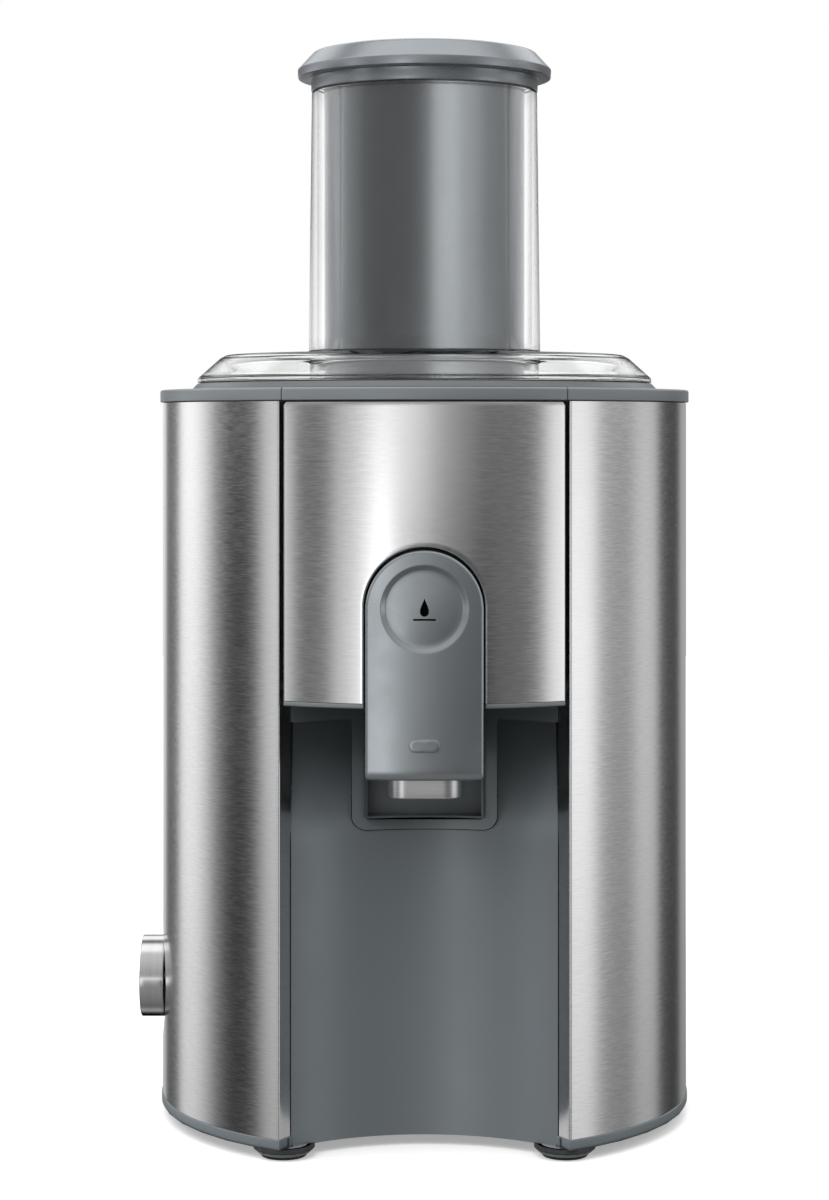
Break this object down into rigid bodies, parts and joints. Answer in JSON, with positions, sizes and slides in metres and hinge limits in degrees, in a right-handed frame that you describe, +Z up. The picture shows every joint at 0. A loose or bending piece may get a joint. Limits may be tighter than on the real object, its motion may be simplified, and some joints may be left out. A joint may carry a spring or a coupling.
{
  "type": "centrifugal juicer",
  "caption": "Upright centrifugal juicer with steel-clad casing, feed chute and pusher, clear lid, tilting spout over a jug bay, spinning filter and a pulp container behind.",
  "frame": {"origin": "middle of the bounding box at the underside of the rubber feet", "axes": "+Z up along the motor axis, -Y to the front with the spout and jug bay, +X to the right seen from the front; the rotary switch is on -X"},
  "size_m": [0.209, 0.2816, 0.4047],
  "materials": {
    "brushed_steel": "fine brushed stainless steel with level grain",
    "grey_plastic": "satin moulded blue-grey plastic",
    "pusher_plastic": "glossy blue-grey plastic",
    "dark_plastic": "matt dark grey plastic",
    "smoked_plastic": "smoked glossy plastic, faintly see-through",
    "clear_plastic": "clear glossy plastic",
    "rubber": "matt black rubber",
    "filter_steel": "bright stainless mesh and pressed sheet",
    "motor_iron": "stacked varnished laminations",
    "copper": "enamelled copper winding and copper segments",
    "cast_aluminium": "die-cast, matt",
    "machined_steel": "ground steel",
    "circuit_board": "green circuit board with parts"
  },
  "bodies": {
    "base": {"base_tray": "dark_plastic", "foot_pad_front_left": "rubber", "foot_pad_front_right": "rubber", "foot_pad_rear_left": "rubber", "foot_pad_rear_right": "rubber", "base_screw_1": "machined_steel", "base_screw_2": "machined_steel", "base_screw_3": "machined_steel", "base_screw_4": "machined_steel", "motor_housing": "dark_plastic", "left_side_panel": "brushed_steel", "right_side_panel": "brushed_steel", "left_rim": "grey_plastic", "right_rim": "grey_plastic", "niche_wall": "grey_plastic", "spout_bezel": "grey_plastic", "pedestal_cover": "grey_plastic", "cord_inlet": "rubber", "stator_core": "motor_iron", "field_coil_left": "copper", "field_coil_right": "copper", "upper_motor_bracket": "cast_aluminium", "lower_motor_bracket": "cast_aluminium", "upper_bearing": "machined_steel", "lower_bearing": "machined_steel", "brush_holder_front": "dark_plastic", "brush_holder_rear": "dark_plastic", "motor_damper_1": "rubber", "motor_damper_2": "rubber", "motor_damper_3": "rubber", "shaft_seal": "rubber", "control_board": "circuit_board", "rotary_switch": "dark_plastic", "interlock_switch": "dark_plastic"},
    "drive": {"motor_shaft": "machined_steel", "rotor_core": "motor_iron", "commutator": "copper", "cooling_fan": "dark_plastic", "drive_coupling": "dark_plastic"},
    "bowl": {"juice_bowl": "grey_plastic", "bowl_seal": "rubber", "front_panel_carrier": "grey_plastic", "front_panel": "brushed_steel", "outlet_seal": "rubber", "spout_pin": "machined_steel"},
    "spout": {"spout_lever": "grey_plastic", "spout_tip": "brushed_steel"},
    "filter": {"filter_basket": "filter_steel", "filter_hub": "dark_plastic", "grater_disc": "filter_steel"},
    "lid": {"lid_cover": "clear_plastic"},
    "pusher": {"pusher_cylinder": "pusher_plastic", "pusher_cap": "grey_plastic"},
    "pulp_container": {"pulp_container": "smoked_plastic"},
    "knob": {"switch_knob": "brushed_steel"},
    "plunger": {"interlock_plunger": "dark_plastic"},
    "left_latch": {"left_latch": "grey_plastic"},
    "right_latch": {"right_latch": "grey_plastic"}
  },
  "joints": [
    {"name": "drive_spin", "type": "hinge", "parent": "base", "child": "drive", "pos_m": [0.00355, -0.0352, 0.1], "axis": [0, 0, 1], "continuous": true},
    {"name": "lid_lift", "type": "slide", "parent": "base", "child": "lid", "axis": [0, 0, 1], "range_m": [0, 0.36]},
    {"name": "filter_lift", "type": "slide", "parent": "drive", "child": "filter", "axis": [0, 0, 1], "range_m": [0, 0.24]},
    {"name": "bowl_lift", "type": "slide", "parent": "base", "child": "bowl", "axis": [0, 0, 1], "range_m": [0, 0.12]},
    {"name": "pusher_slide", "type": "slide", "parent": "lid", "child": "pusher", "axis": [0, 0, 1], "range_m": [0, 0.19]},
    {"name": "spout_tilt", "type": "hinge", "parent": "bowl", "child": "spout", "pos_m": [0.00355, -0.1272, 0.1665], "axis": [-1, 0, 0], "range_deg": [0, 5]},
    {"name": "container_slide", "type": "slide", "parent": "base", "child": "pulp_container", "axis": [0, 1, 0], "range_m": [0, 0.12]},
    {"name": "knob_turn", "type": "hinge", "parent": "base", "child": "knob", "pos_m": [-0.09645, -0.0352, 0.0503], "axis": [-1, 0, 0], "range_deg": [0, 90]},
    {"name": "plunger_rise", "type": "slide", "parent": "base", "child": "plunger", "axis": [0, 0, 1], "range_m": [0, 0.004]},
    {"name": "left_latch_swing", "type": "hinge", "parent": "base", "child": "left_latch", "pos_m": [-0.09345, -0.0022, 0.2315], "axis": [0, -1, 0], "range_deg": [0, 25]},
    {"name": "right_latch_swing", "type": "hinge", "parent": "base", "child": "right_latch", "pos_m": [0.10055, -0.0022, 0.2315], "axis": [0, 1, 0], "range_deg": [0, 25]}
  ],
  "couplings": [
    {"joint": "filter_lift", "follows": "lid_lift", "ratio": 0.6666},
    {"joint": "bowl_lift", "follows": "lid_lift", "ratio": 0.3333},
    {"joint": "plunger_rise", "follows": "lid_lift", "ratio": 0.011}
  ]
}
